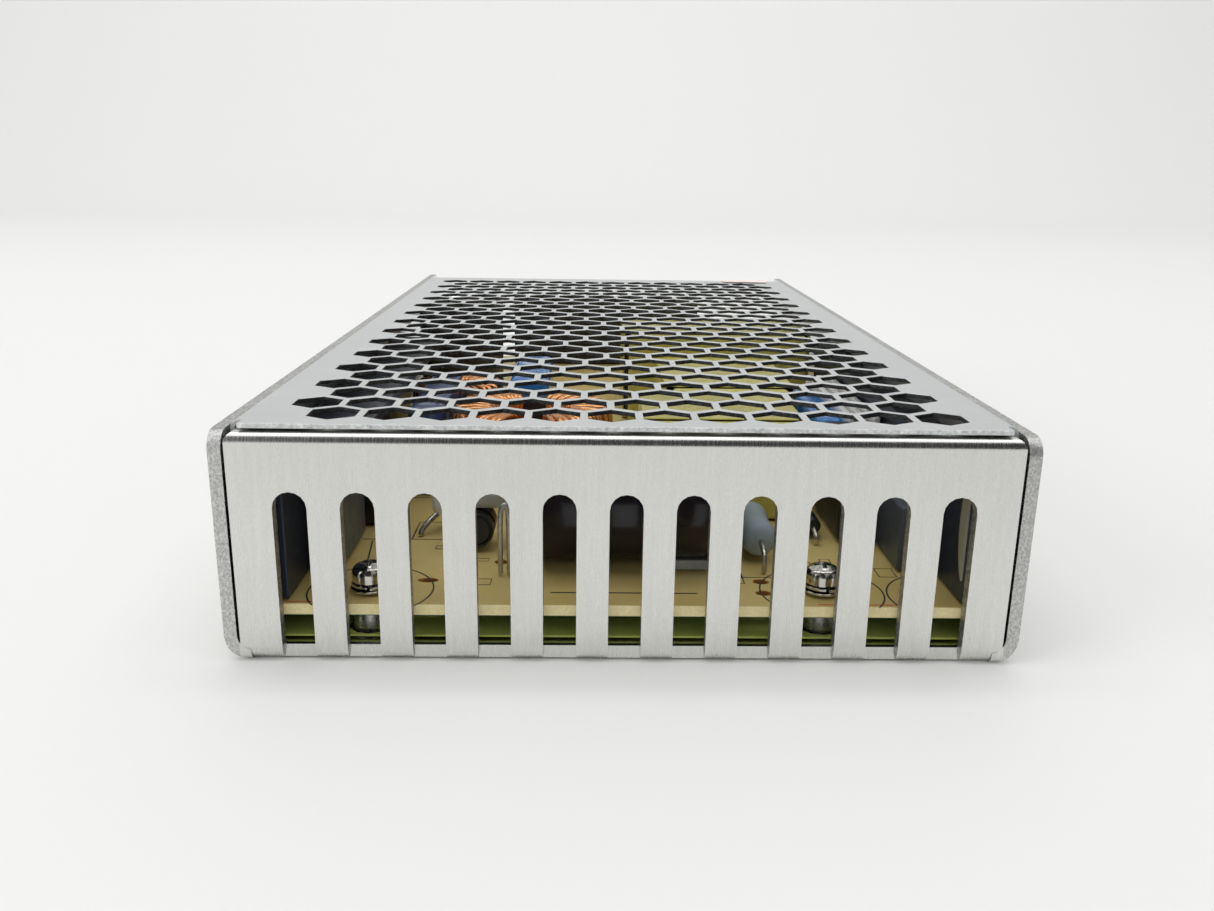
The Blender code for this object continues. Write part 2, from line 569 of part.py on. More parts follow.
def build():
    for thing in list(bpy.data.objects):
        bpy.data.objects.remove(thing, do_unlink=True)

    aluminium = paint("brushed_aluminium", (0.74, 0.74, 0.72), 0.38, 1.0)
    zinc = paint("zinc_steel", (0.50, 0.52, 0.52), 0.5, 0.9)
    steel = paint("bright_steel", (0.62, 0.61, 0.58), 0.22, 1.0)
    silver = paint("tinned_metal", (0.72, 0.71, 0.68), 0.3, 1.0)
    laminate = paint("tan_laminate", (0.80, 0.66, 0.38), 0.55)
    film = paint("insulating_film", (0.26, 0.30, 0.06), 0.3)
    sleeve = paint("dark_sleeve", (0.020, 0.014, 0.016), 0.22)
    dark_metal = paint("dark_anodised", (0.045, 0.055, 0.08), 0.35, 0.4)
    slate = paint("grey_moulding", (0.16, 0.18, 0.20), 0.45)
    black = paint("black_moulding", (0.018, 0.018, 0.020), 0.4)
    ferrite = paint("ferrite", (0.035, 0.035, 0.038), 0.6)
    tape = paint("yellow_tape", (0.62, 0.50, 0.05), 0.35)
    copper = paint("enamelled_copper", (0.72, 0.27, 0.07), 0.28, 0.9)
    light_blue = paint("blue_epoxy", (0.05, 0.22, 0.55), 0.35)
    navy = paint("navy_epoxy", (0.012, 0.035, 0.12), 0.35)
    grey_ceramic = paint("grey_ceramic", (0.33, 0.38, 0.42), 0.5)
    white = paint("white_moulding", (0.80, 0.79, 0.74), 0.45)
    adhesive = paint("clear_adhesive", (0.62, 0.63, 0.60), 0.2)
    label = paint("plain_label", (0.85, 0.52, 0.44), 0.6)

    make_chassis(aluminium)
    make_cover(zinc)
    make_board(laminate)
    make_sheet(film)
    make_board_fixings(silver, steel)
    make_capacitor("bulk_capacitor", (-12.0, 19.2, ON_BOARD + 9.0), 9.0, 26.0, "x", sleeve)
    wedge = [(13.6, ON_BOARD), (16.0, ON_BOARD), (14.4, ON_BOARD + 1.2), (13.6, ON_BOARD + 1.2)]
    extrude("adhesive_bead", wedge, "x", 6.5, 14.4, adhesive)
    make_capacitor("supply_capacitor", (-20.5, 20.0, ON_BOARD + 3.0), 2.6, 6.4, "y", black)
    rounded_box("adhesive_cap", (-23.4, -16.0), (20.6, 26.4), (ON_BOARD + 5.9, 18.4), 1.6, adhesive)
    make_resistor(grey_ceramic)
    make_small_parts(black, navy, light_blue, silver, white, copper)
    make_heat_spreaders(dark_metal, black, slate)
    make_ring_choke(ferrite, copper)
    make_transformer("drive_transformer", (4.6, 28.0), (34.4, 57.4), 22.0, 2.6, 0.0, ferrite, tape)
    make_transformer("storage_choke", (9.6, 31.0), (58.6, 91.0), 22.0, 2.6, 0.0, ferrite, tape)
    make_transformer("main_transformer", (3.4, 42.0), (96.6, 126.0), 25.2, 4.0, 1.0, ferrite, tape)
    make_output_side(black, light_blue, white)
    make_terminals(black, silver, steel)
    make_cover_screws(steel)
    box("plain_label", (31.0, 42.5), (158.4, 162.8), (COVER_TOP + 0.2, COVER_TOP + 0.32), label)


build()
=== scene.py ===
import json
import math

import bmesh
import bpy
from mathutils import Matrix, Vector


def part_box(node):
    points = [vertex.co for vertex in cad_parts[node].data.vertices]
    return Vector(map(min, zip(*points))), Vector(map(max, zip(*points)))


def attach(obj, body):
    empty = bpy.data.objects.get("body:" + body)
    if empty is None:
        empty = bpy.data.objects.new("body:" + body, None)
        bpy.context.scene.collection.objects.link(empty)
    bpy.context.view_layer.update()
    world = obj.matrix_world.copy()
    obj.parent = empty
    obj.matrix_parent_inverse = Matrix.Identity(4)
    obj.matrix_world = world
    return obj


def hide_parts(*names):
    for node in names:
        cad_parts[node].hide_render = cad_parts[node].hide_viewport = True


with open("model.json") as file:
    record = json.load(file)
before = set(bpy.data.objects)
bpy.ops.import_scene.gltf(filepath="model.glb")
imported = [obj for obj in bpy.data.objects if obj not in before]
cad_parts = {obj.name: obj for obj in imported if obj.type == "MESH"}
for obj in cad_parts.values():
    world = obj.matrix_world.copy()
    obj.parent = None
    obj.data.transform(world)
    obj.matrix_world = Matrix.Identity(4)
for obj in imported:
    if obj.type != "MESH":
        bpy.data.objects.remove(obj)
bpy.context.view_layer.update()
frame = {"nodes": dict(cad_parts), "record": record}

MM = 0.001
BODY = "enclosure"

# Places that several pieces share, in millimetres. Depths run back from the slotted end wall.
FRONT_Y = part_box("chassis")[0][1] / MM
BOARD_LOW, BOARD_TOP = (corner[2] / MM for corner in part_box("circuit_board"))
BOARD_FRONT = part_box("circuit_board")[0][1] / MM - FRONT_Y
COVER_SHEET = 0.6
COVER_LOW_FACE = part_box("cover")[1][2] / MM - COVER_SHEET

# Distances from the middle line that tell the sheet metal's faces apart, in millimetres.
WALL_INSIDE = 47.85     # anything further out belongs to a side wall
WALL_GAP = 47.7         # the gap between the end wall and the side walls
END_WALL_HALF = 47.6
FIELD_HALF = 46.0       # holds every hole of the cover and of the board
BOARD_FIELD_END = 176.0

FOOT_OF_LEADS = BOARD_TOP + 0.3


def place(x, depth, z):
    """Metre position from millimetres across, behind the slotted end wall, and up."""
    return Vector((x * MM, (FRONT_Y + depth) * MM, z * MM))


def span(node):
    """A CAD node's extent across, behind the end wall and up, in millimetres."""
    low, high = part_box(node)
    across = (low[0] / MM, high[0] / MM)
    depth = (low[1] / MM - FRONT_Y, high[1] / MM - FRONT_Y)
    return across, depth, (low[2] / MM, high[2] / MM)


def middle(pair):
    """Halfway between two numbers."""
    return (pair[0] + pair[1]) / 2


# ---------------------------------------------------------------- camera, floor and light

def make_camera():
    """Camera low in front of the slotted end wall, a little to the left and hardly rolled."""
    pitch, yaw, roll = (math.radians(angle) for angle in (15.711, 1.155, -0.838))
    forward = Vector((math.sin(yaw) * math.cos(pitch), math.cos(yaw) * math.cos(pitch), -math.sin(pitch)))
    level = Vector((math.cos(yaw), -math.sin(yaw), 0.0))
    down = forward.cross(level)
    right = math.cos(roll) * level + math.sin(roll) * down
    under = -math.sin(roll) * level + math.cos(roll) * down
    data = bpy.data.cameras.new("camera")
    data.sensor_width = 36.0
    data.lens = 30.72
    data.clip_start = 0.005
    camera = bpy.data.objects.new("camera", data)
    turn = Matrix((right, -under, -forward)).transposed().to_4x4()
    camera.matrix_world = Matrix.Translation(place(-4.87, -117.87, 60.21)) @ turn
    bpy.context.scene.collection.objects.link(camera)
    bpy.context.scene.camera = camera


def make_light(name, spot, target, size, power):
    """Soft rectangular lamp at a spot, aimed at a target."""
    data = bpy.data.lights.new(name, "AREA")
    data.shape = "RECTANGLE"
    data.size, data.size_y = size
    data.energy = power
    lamp = bpy.data.objects.new(name, data)
    lamp.location = spot
    lamp.rotation_euler = (Vector(target) - Vector(spot)).to_track_quat("-Z", "Y").to_euler()
    bpy.context.scene.collection.objects.link(lamp)


def make_world():
    """Even pale light all round, dimmer in one wide soft patch above and in front of the end wall.

    The dim patch shows only in reflections.
    """
    world = bpy.data.worlds.new("studio")
    world.use_nodes = True
    nodes, links = world.node_tree.nodes, world.node_tree.links
    way = nodes.new("ShaderNodeTexCoord")
    dot = nodes.new("ShaderNodeVectorMath")
    dot.operation = "DOT_PRODUCT"
    dot.inputs[1].default_value = Vector((0.36, -0.78, 0.50)).normalized()
    links.new(way.outputs["Generated"], dot.inputs[0])
    fade = nodes.new("ShaderNodeMapRange")
    fade.interpolation_type = "SMOOTHSTEP"
    for socket, number in (("From Min", 0.45), ("From Max", 0.80), ("To Min", 0.0), ("To Max", 1.0)):
        fade.inputs[socket].default_value = number
    links.new(dot.outputs["Value"], fade.inputs["Value"])
    mix = nodes.new("ShaderNodeMix")
    mix.data_type = "RGBA"
    mix.inputs[6].default_value = (0.96, 0.965, 0.955, 1.0)
    mix.inputs[7].default_value = (0.045, 0.048, 0.05, 1.0)
    path = nodes.new("ShaderNodeLightPath")
    mirrored = nodes.new("ShaderNodeMath")
    mirrored.operation = "MULTIPLY"
    links.new(fade.outputs["Result"], mirrored.inputs[0])
    links.new(path.outputs["Is Glossy Ray"], mirrored.inputs[1])
    links.new(mirrored.outputs["Value"], mix.inputs["Factor"])
    links.new(mix.outputs[2], nodes["Background"].inputs["Color"])
    nodes["Background"].inputs["Strength"].default_value = 0.70
    bpy.context.scene.world = world


def make_surroundings():
    """A pale paper sweep: flat floor, a wide quarter circle and a wall behind."""
    bend_start, bend_radius, half = 0.9, 0.6, 6.0
    profile = [(-6.0, 0.0), (-1.6, 0.0), (0.0, 0.0), (bend_start, 0.0)]
    for step in range(1, 17):
        angle = math.pi / 2 * step / 16
        profile.append((bend_start + bend_radius * math.sin(angle), bend_radius * (1 - math.cos(angle))))
    profile.append((bend_start + bend_radius, 1.9))
    points = [(side * half, y, z) for y, z in profile for side in (-1, 1)]
    faces = [(2 * i, 2 * i + 1, 2 * i + 3, 2 * i + 2) for i in range(len(profile) - 1)]
    sweep_mesh = bpy.data.meshes.new("sweep")
    sweep_mesh.from_pydata(points, [], faces)
    sweep_mesh.shade_smooth()
    sweep = bpy.data.objects.new("sweep", sweep_mesh)
    bpy.context.scene.collection.objects.link(sweep)
    sweep_mesh.materials.append(Material("paper", (0.84, 0.842, 0.83), 0.6).data)
    make_world()
    bpy.context.scene.view_settings.view_transform = "Standard"
    make_light("overhead", (0.0, -0.14, 1.15), (0.0, -0.1, 0.0), (1.5, 0.8), 4.6)
    make_light("left_window", (-1.0, -0.5, 0.55), (0.0, 0.0, 0.02), (0.8, 0.5), 3.0)
    make_light("backdrop", (0.0, 0.35, 1.5), (0.0, 1.5, 0.75), (2.4, 0.6), 8.0)


# ---------------------------------------------------------------- procedural materials

class Material:
    """A node material: a Principled shader and small helpers that feed its sockets."""

    def __init__(self, name, colour, roughness, metallic=0.0, **sockets):
        self.data = bpy.data.materials.new(name)
        self.data.use_nodes = True
        self.nodes = self.data.node_tree.nodes
        self.links = self.data.node_tree.links
        self.shader = self.nodes["Principled BSDF"]
        self.set("Base Color", (*colour, 1.0))
        self.set("Roughness", roughness)
        self.set("Metallic", metallic)
        for socket, value in sockets.items():
            self.set(socket.replace("_", " "), value)
        self.coordinates = None
        self.bump_height = None

    def set(self, socket, value):
        self.shader.inputs[socket].default_value = value

    def add(self, kind, **settings):
        node = self.nodes.new(kind)
        for key, value in settings.items():
            setattr(node, key, value)
        return node

    def scaled(self, scale):
        """Object coordinates stretched by a scale per metre on each axis."""
        if self.coordinates is None:
            self.coordinates = self.add("ShaderNodeTexCoord")
        mapping = self.add("ShaderNodeMapping")
        mapping.inputs["Scale"].default_value = scale
        self.links.new(self.coordinates.outputs["Object"], mapping.inputs["Vector"])
        return mapping.outputs["Vector"]

    def noise(self, scale, detail=3.0, roughness=0.55):
        texture = self.add("ShaderNodeTexNoise")
        texture.inputs["Scale"].default_value = 1.0
        texture.inputs["Detail"].default_value = detail
        texture.inputs["Roughness"].default_value = roughness
        self.links.new(self.scaled(scale), texture.inputs["Vector"])
        return texture.outputs["Fac"]

    def ramp(self, value, stops):
        """Colour (or grey) ramp over a value; stops are (position, colour)."""
        node = self.add("ShaderNodeValToRGB")
        while len(node.color_ramp.elements) < len(stops):
            node.color_ramp.elements.new(0.5)
        for element, (position, colour) in zip(node.color_ramp.elements, stops):
            element.position = position
            element.color = (*colour, 1.0) if isinstance(colour, tuple) else (colour, colour, colour, 1.0)
        self.links.new(value, node.inputs["Fac"])
        return node.outputs["Color"]

    def range(self, value, low, high, start=0.0, end=1.0):
        node = self.add("ShaderNodeMapRange")
        self.links.new(value, node.inputs["Value"])
        for socket, number in (("From Min", low), ("From Max", high), ("To Min", start), ("To Max", end)):
            node.inputs[socket].default_value = number
        return node.outputs["Result"]

    def math(self, operation, first, second):
        node = self.add("ShaderNodeMath", operation=operation)
        for socket, value in zip(node.inputs, (first, second)):
            if isinstance(value, (int, float)):
                socket.default_value = value
            else:
                self.links.new(value, socket)
        return node.outputs["Value"]

    def mix(self, factor, first, second, blend="MIX"):
        node = self.add("ShaderNodeMix", data_type="RGBA", blend_type=blend)
        sockets = (node.inputs["Factor"], node.inputs[6], node.inputs[7])
        for socket, value in zip(sockets, (factor, first, second)):
            if isinstance(value, (int, float)):
                socket.default_value = value
            elif isinstance(value, tuple):
                socket.default_value = (*value, 1.0)
            else:
                self.links.new(value, socket)
        return node.outputs[2]

    def facing(self, axis):
        """How far the surface faces along an axis, without its sign, from 0 to 1."""
        geometry = self.add("ShaderNodeNewGeometry")
        split = self.add("ShaderNodeSeparateXYZ")
        self.links.new(geometry.outputs["Normal"], split.inputs["Vector"])
        return self.math("ABSOLUTE", split.outputs[axis], 0.0)

    def position(self, axis):
        split = self.add("ShaderNodeSeparateXYZ")
        self.links.new(self.scaled((1.0, 1.0, 1.0)), split.inputs["Vector"])
        return split.outputs[axis]

    def tint(self, colour):
        self.links.new(colour, self.shader.inputs["Base Color"])

    def gloss(self, value):
        self.links.new(value, self.shader.inputs["Roughness"])

    def bump(self, height, distance, strength=1.0):
        node = self.add("ShaderNodeBump")
        node.inputs["Strength"].default_value = strength
        node.inputs["Distance"].default_value = distance
        self.links.new(height, node.inputs["Height"])
        if self.bump_height is not None:
            self.links.new(self.bump_height, node.inputs["Normal"])
        self.bump_height = node.outputs["Normal"]
        self.links.new(self.bump_height, self.shader.inputs["Normal"])


def shade(colour, amount):
    """A colour made lighter or darker."""
    return tuple(min(channel * amount, 1.0) for channel in colour)


def mottled(name, colour, roughness, metallic=0.0, grain=900.0, spread=0.12, bump=0.00002, **sockets):
    """Moulded or coated surface: slight colour clouds, fine grain and uneven gloss."""
    made = Material(name, colour, roughness, metallic, **sockets)
    clouds = made.noise((grain * 0.12,) * 3, 4.0)
    made.tint(made.ramp(clouds, [(0.3, shade(colour, 1.0 - spread)), (0.7, shade(colour, 1.0 + spread))]))
    patches = made.noise((grain * 0.4,) * 3, 3.0)
    made.gloss(made.range(patches, 0.3, 0.7, roughness * 0.85, min(roughness * 1.2, 1.0)))
    made.bump(made.noise((grain,) * 3, 2.0), bump)
    return made


def brushed_aluminium():
    """Short hairlines along the grain: up the end wall, and along the base and side walls.

    The level faces are left smooth, so that the base reflects the film above it cleanly.
    """
    made = Material("brushed_aluminium", (0.74, 0.74, 0.72), 0.40, 1.0)
    sideways = made.range(made.facing("X"), 0.5, 0.8)
    end_hair = made.noise((5600.0, 300.0, 420.0), 3.0, 0.6)
    side_hair = made.noise((300.0, 420.0, 5600.0), 3.0, 0.6)
    hair = made.mix(sideways, end_hair, side_hair)
    end_lines = made.noise((1500.0, 60.0, 75.0), 4.0, 0.65)
    side_lines = made.noise((60.0, 75.0, 1500.0), 4.0, 0.65)
    lines = made.mix(sideways, end_lines, side_lines)
    clouds = made.noise((38.0, 38.0, 38.0), 4.0)
    scratches = made.noise((900.0, 900.0, 160.0), 6.0, 0.8)
    tone = made.ramp(lines, [(0.25, (0.735, 0.735, 0.715)), (0.75, (0.785, 0.785, 0.765))])
    soft = made.ramp(clouds, [(0.3, (0.95, 0.95, 0.945)), (0.7, (1.0, 1.0, 0.995))])
    fine = made.ramp(hair, [(0.25, (0.92, 0.92, 0.915)), (0.6, (1.0, 1.0, 0.995))])
    nicks = made.ramp(scratches, [(0.24, (0.72, 0.72, 0.72)), (0.30, (1.0, 1.0, 1.0))])
    shades = made.mix(1.0, made.mix(1.0, tone, soft, "MULTIPLY"), fine, "MULTIPLY")
    made.tint(made.mix(1.0, shades, nicks, "MULTIPLY"))
    upright = made.range(made.facing("Z"), 0.8, 0.97, 1.0, 0.0)
    swing = made.math("MULTIPLY", made.math("SUBTRACT", hair, 0.5), upright)
    made.gloss(made.range(swing, -0.2, 0.2, 0.20, 0.31))
    made.bump(made.math("MULTIPLY", hair, upright), 0.000005)
    made.bump(made.math("MULTIPLY", lines, upright), 0.000010, 0.5)
    return made


def cut_metal(name, dark, middle, light):
    """Sheared sheet edge: speckled, uneven and rougher than the faces."""
    made = Material(name, (middle, middle, middle * 0.98), 0.42, 1.0)
    speckle = made.noise((3600.0, 2400.0, 2600.0), 4.0, 0.75)
    tones = ((0.36, dark), (0.5, middle), (0.66, light))
    made.tint(made.ramp(speckle, [(spot, (tone, tone, tone * 0.98)) for spot, tone in tones]))
    made.gloss(made.range(speckle, 0.3, 0.7, 0.32, 0.60))
    made.bump(speckle, 0.00010)
    return made


def zinc_steel():
    """Cover sheet: dull zinc with soft clouds and a fine rolled grain."""
    made = Material("zinc_steel", (0.66, 0.67, 0.67), 0.45, 0.55)
    grain = made.noise((260.0, 2600.0, 900.0), 4.0, 0.6)
    clouds = made.noise((120.0,) * 3, 4.0)
    tone = made.ramp(clouds, [(0.3, (0.555, 0.575, 0.58)), (0.7, (0.625, 0.64, 0.64))])
    made.tint(made.mix(1.0, tone, made.ramp(grain, [(0.2, 0.90), (0.8, 1.0)]), "MULTIPLY"))
    made.gloss(made.range(clouds, 0.3, 0.7, 0.36, 0.50))
    made.bump(grain, 0.000008)
    return made


def shaded_punched_steel():
    """Walls of the punched holes: torn and dull, darkened with painted shade."""
    made = Material("shaded_punched_steel", (0.10, 0.105, 0.11), 0.5, 0.8)
    torn = made.noise((1500.0, 1500.0, 2600.0), 4.0, 0.7)
    # The dark tones are painted shade inside the holes; the flecks are torn metal.
    tones = [(0.35, (0.035, 0.037, 0.04)), (0.62, (0.10, 0.105, 0.11)), (0.8, (0.34, 0.35, 0.35))]
    made.tint(made.ramp(torn, tones))
    made.bump(torn, 0.00004)
    return made


def rolled_edge():
    """Cover's sheared front edge: uneven and torn, with painted brightness in place of reflected light and
    painted glints in its brightest flecks.
    """
    made = Material("rolled_edge", (0.74, 0.76, 0.755), 0.4, 0.35)
    torn = made.noise((1700.0, 1700.0, 2300.0), 5.0, 0.7)
    long_waves = made.noise((240.0, 500.0, 700.0), 3.0)
    # Painted light: the pale base and the brightest flecks stand in for glints and reflected light; the
    # spread of tones is torn metal.
    tones = [(0.3, (0.42, 0.44, 0.44)), (0.52, (0.66, 0.68, 0.675)), (0.7, (0.95, 0.96, 0.95))]
    made.tint(made.ramp(torn, tones))
    made.gloss(made.range(torn, 0.3, 0.7, 0.25, 0.5))
    made.bump(torn, 0.00006)
    made.bump(long_waves, 0.00003)
    return made


def bright_metal(name, colour, roughness):
    """Plated or plain metal of the screws, leads and can tops."""
    made = Material(name, colour, roughness, 1.0)
    marks = made.noise((1800.0,) * 3, 4.0)
    made.tint(made.ramp(made.noise((420.0,) * 3, 3.0), [(0.3, shade(colour, 0.8)), (0.7, colour)]))
    made.gloss(made.range(marks, 0.3, 0.7, roughness * 0.6, roughness * 1.7))
    made.bump(marks, 0.00001)
    return made


def laminate():
    """Tan board: smooth face on top, pale cut edge, and green mask on the underside."""
    made = Material("tan_laminate", (0.74, 0.62, 0.36), 0.4, 0.0, Specular_IOR_Level=0.28)
    weave = made.noise((2400.0, 2400.0, 2400.0), 2.0)
    clouds = made.noise((90.0,) * 3, 4.0)
    top = made.ramp(clouds, [(0.3, (0.60, 0.46, 0.165)), (0.7, (0.69, 0.55, 0.22))])
    edge = made.ramp(weave, [(0.3, (0.88, 0.74, 0.38)), (0.7, (0.96, 0.86, 0.50))])
    mask = made.ramp(clouds, [(0.3, (0.010, 0.075, 0.035)), (0.7, (0.016, 0.11, 0.05))])
    body = made.mix(made.range(made.facing("Z"), 0.4, 0.6), edge, top)
    low = made.range(made.position("Z"), (BOARD_LOW + 0.12) * MM, (BOARD_LOW + 0.16) * MM, 1.0, 0.0)
    made.tint(made.mix(low, body, mask))
    made.gloss(made.range(weave, 0.3, 0.7, 0.34, 0.5))
    made.bump(weave, 0.00001)
    return made


def copper_wire():
    """Enamelled copper: warm metal under a clear coat."""
    made = Material("enamelled_copper", (0.85, 0.38, 0.14), 0.22, 0.9, Coat_Weight=0.7, Coat_Roughness=0.08)
    clouds = made.noise((400.0,) * 3, 3.0)
    made.tint(made.ramp(clouds, [(0.3, (0.72, 0.27, 0.075)), (0.7, (0.93, 0.47, 0.19))]))
    made.gloss(made.range(clouds, 0.3, 0.7, 0.16, 0.30))
    return made


def tape():
    """Yellow tape, wound by hand, with wrinkles across it."""
    made = Material("yellow_tape", (0.66, 0.58, 0.12), 0.25, 0.0, Coat_Weight=0.4, Coat_Roughness=0.12)
    wrinkle = made.noise((160.0, 260.0, 500.0), 4.0, 0.6)
    tone = made.ramp(made.noise((110.0,) * 3, 3.0), [(0.3, (0.46, 0.41, 0.075)), (0.7, (0.68, 0.62, 0.17))])
    made.tint(tone)
    made.gloss(made.range(wrinkle, 0.3, 0.7, 0.2, 0.36))
    made.bump(wrinkle, 0.0001)
    return made


def make_materials():
    """Every material by its slot's name, and a few finishes that only the detail uses."""
    made = {
        "brushed_aluminium": brushed_aluminium(),
        "zinc_steel": zinc_steel(),
        "bright_steel": bright_metal("bright_steel", (0.66, 0.64, 0.60), 0.12),
        "tinned_metal": bright_metal("tinned_metal", (0.56, 0.55, 0.51), 0.30),
        "tan_laminate": laminate(),
        "insulating_film": mottled("insulating_film", (0.82, 0.90, 0.22), 0.2, grain=400.0, Coat_Weight=0.3),
        "dark_sleeve": mottled(
            "dark_sleeve", (0.012, 0.008, 0.012), 0.2, grain=260.0, bump=0.00004,
            Specular_IOR_Level=0.3, Coat_Weight=0.2),
        "dark_anodised": mottled("dark_anodised", (0.026, 0.034, 0.052), 0.34, 0.3, grain=1500.0),
        "grey_moulding": mottled("grey_moulding", (0.060, 0.072, 0.092), 0.40),
        "black_moulding": mottled("black_moulding", (0.018, 0.018, 0.020), 0.36),
        "ferrite": mottled("ferrite", (0.030, 0.030, 0.033), 0.5, grain=1800.0, bump=0.00005),
        "yellow_tape": tape(),
        "enamelled_copper": copper_wire(),
        "blue_epoxy": mottled("blue_epoxy", (0.03, 0.20, 0.58), 0.22, grain=500.0, Coat_Weight=0.5),
        "navy_epoxy": mottled("navy_epoxy", (0.012, 0.045, 0.16), 0.30, grain=500.0, Coat_Weight=0.4),
        "grey_ceramic": mottled("grey_ceramic", (0.30, 0.36, 0.40), 0.5, grain=1300.0, spread=0.08),
        "white_moulding": mottled("white_moulding", (0.88, 0.88, 0.86), 0.42),
        "clear_adhesive": mottled(
            "clear_adhesive", (0.58, 0.60, 0.56), 0.14, grain=700.0, Transmission_Weight=0.35),
        "plain_label": mottled("plain_label", (0.90, 0.76, 0.73), 0.55, grain=2000.0),
        "cut_metal": cut_metal("cut_metal", 0.20, 0.46, 0.74),
        "wall_edge": cut_metal("wall_edge", 0.40, 0.61, 0.84),
        # Hole walls darkened with painted shade.
        "shaded_punched_steel": shaded_punched_steel(),
        # Sheared cover edge with painted brightness and painted glints.
        "rolled_edge": rolled_edge(),
        "board_print": mottled("board_print", (0.030, 0.027, 0.024), 0.5, grain=1200.0),
        "red_print": mottled("red_print", (0.62, 0.07, 0.05), 0.5, grain=1200.0),
        # Hole walls darker and browner than the board's face.
        "brown_hole_wall": mottled("brown_hole_wall", (0.42, 0.18, 0.03), 0.5, grain=1500.0),
        # A cream piece darkened to beige with painted shade.
        "shaded_cream_patch": mottled("shaded_cream_patch", (0.36, 0.33, 0.24), 0.4, grain=900.0),
        "bare_aluminium": bright_metal("bare_aluminium", (0.78, 0.78, 0.77), 0.26),
        "rubber": mottled("rubber", (0.030, 0.029, 0.028), 0.6, grain=1200.0),
    }
    return {name: item.data for name, item in made.items()}


# ---------------------------------------------------------------- mesh helpers

def rounded_outline(across, depth, corner, steps=5):
    """Rectangle with round corners, in (x, depth)."""
    outline = []
    for side_x, side_d, start in ((1, 1, 0), (0, 1, 90), (0, 0, 180), (1, 0, 270)):
        x = across[side_x] + (-corner if side_x else corner)
        d = depth[side_d] + (-corner if side_d else corner)
        for step in range(steps + 1):
            angle = math.radians(start + 90 * step / steps)
            outline.append((x + corner * math.cos(angle), d + corner * math.sin(angle)))
    return outline


def curve_through(points, per_span=6):
    """Smooth path through given points."""
    rows = [Vector(point) for point in points]
    padded = [2 * rows[0] - rows[1], *rows, 2 * rows[-1] - rows[-2]]
    path = []
    for i in range(1, len(padded) - 2):
        a, b, c, d = padded[i - 1:i + 3]
        for step in range(per_span):
            t = step / per_span
            path.append(0.5 * (2 * b + (c - a) * t + (2 * a - 5 * b + 4 * c - d) * t * t
                               + (3 * b - a - 3 * c + d) * t ** 3))
    path.append(rows[-1])
    return path


class Shape:
    """Collects closed shells, given in millimetres, into one mesh."""

    def __init__(self):
        self.points = []
        self.faces = []
        self.finishes = []

    def loft(self, rings, finish=0, closed=False):
        """Skin over rings of equal length; the ends are capped unless the loft closes on itself."""
        base = len(self.points)
        count = len(rings[0])
        for ring in rings:
            self.points += [place(*point) for point in ring]
        spans = len(rings) if closed else len(rings) - 1
        for row in range(spans):
            here = base + row * count
            there = base + (row + 1) % len(rings) * count
            for i in range(count):
                j = (i + 1) % count
                self.faces.append((here + i, here + j, there + j, there + i))
                self.finishes.append(finish)
        if not closed:
            last = base + (len(rings) - 1) * count
            self.faces += [tuple(range(base, base + count)), tuple(range(last + count - 1, last - 1, -1))]
            self.finishes += [finish, finish]
        return self

    def turned(self, profile, centre, axis="z", sides=48, finish=0):
        """Solid of revolution; a profile that starts off the axis is closed into a ring."""
        rings = []
        hollow = profile[0][0] > 0.0
        for radius, along in profile:
            ring = []
            for step in range(sides):
                angle = 2 * math.pi * step / sides
                u, v = max(radius, 0.0004) * math.cos(angle), max(radius, 0.0004) * math.sin(angle)
                offset = {"x": (along, u, v), "y": (u, along, v), "z": (u, v, along)}[axis]
                ring.append([c + o for c, o in zip(centre, offset)])
            rings.append(ring)
        return self.loft(rings, finish, closed=hollow)

    def tube(self, path, radius, sides=12, finish=0):
        """Round wire along a path, with flat ends."""
        stations = [Vector(point) for point in path]
        side_way = None
        rings = []
        for i, station in enumerate(stations):
            along = (stations[min(i + 1, len(stations) - 1)] - stations[max(i - 1, 0)]).normalized()
            side_way = along.orthogonal() if side_way is None else side_way
            side_way = (side_way - along * side_way.dot(along)).normalized()
            up_way = along.cross(side_way)
            turns = [2 * math.pi * step / sides for step in range(sides)]
            rings.append([station + (side_way * math.cos(t) + up_way * math.sin(t)) * radius for t in turns])
        return self.loft(rings, finish)

    def cushion(self, across, depth, height, corner, edge, finish=0, steps=4):
        """Upright block with round corners and rolled top and bottom edges."""
        rings = []
        quarter = [math.pi / 2 * step / steps for step in range(steps + 1)]
        levels = [(1 - math.sin(a), height[0] + edge * (1 - math.cos(a))) for a in quarter]
        levels += [(1 - math.cos(a), height[1] - edge * (1 - math.sin(a))) for a in quarter]
        for inset, z in levels:
            cut = edge * inset
            sides = ((across[0] + cut, across[1] - cut), (depth[0] + cut, depth[1] - cut))
            outline = rounded_outline(*sides, max(corner - cut, 0.05))
            rings.append([(x, d, z) for x, d in outline])
        return self.loft(rings, finish)

    def plate(self, outline, low, high):
        """Flat plate between two places across, with its outline in (depth, z)."""
        return self.loft([[(x, depth, z) for depth, z in outline] for x in (low, high)])

    def mesh(self, name, materials):
        """The finished mesh, with all its faces turned outwards."""
        mesh = bpy.data.meshes.new(name)
        mesh.from_pydata(self.points, [], self.faces)
        for material in materials:
            mesh.materials.append(material)
        for polygon, finish in zip(mesh.polygons, self.finishes):
            polygon.material_index = finish
        shape = bmesh.new()
        shape.from_mesh(mesh)
        bmesh.ops.recalc_face_normals(shape, faces=shape.faces)
        shape.to_mesh(mesh)
        shape.free()
        return mesh


def show(name, mesh, slot, body, *nodes, angle=35.0):
    """Link a finished mesh, ride it on a body and let it stand for CAD nodes."""
    mesh.shade_smooth()
    mesh.set_sharp_from_angle(angle=math.radians(angle))
    piece = bpy.data.objects.new(name, mesh)
    bpy.context.scene.collection.objects.link(piece)
    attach(piece, body)
    if nodes:
        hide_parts(*nodes)
    return piece


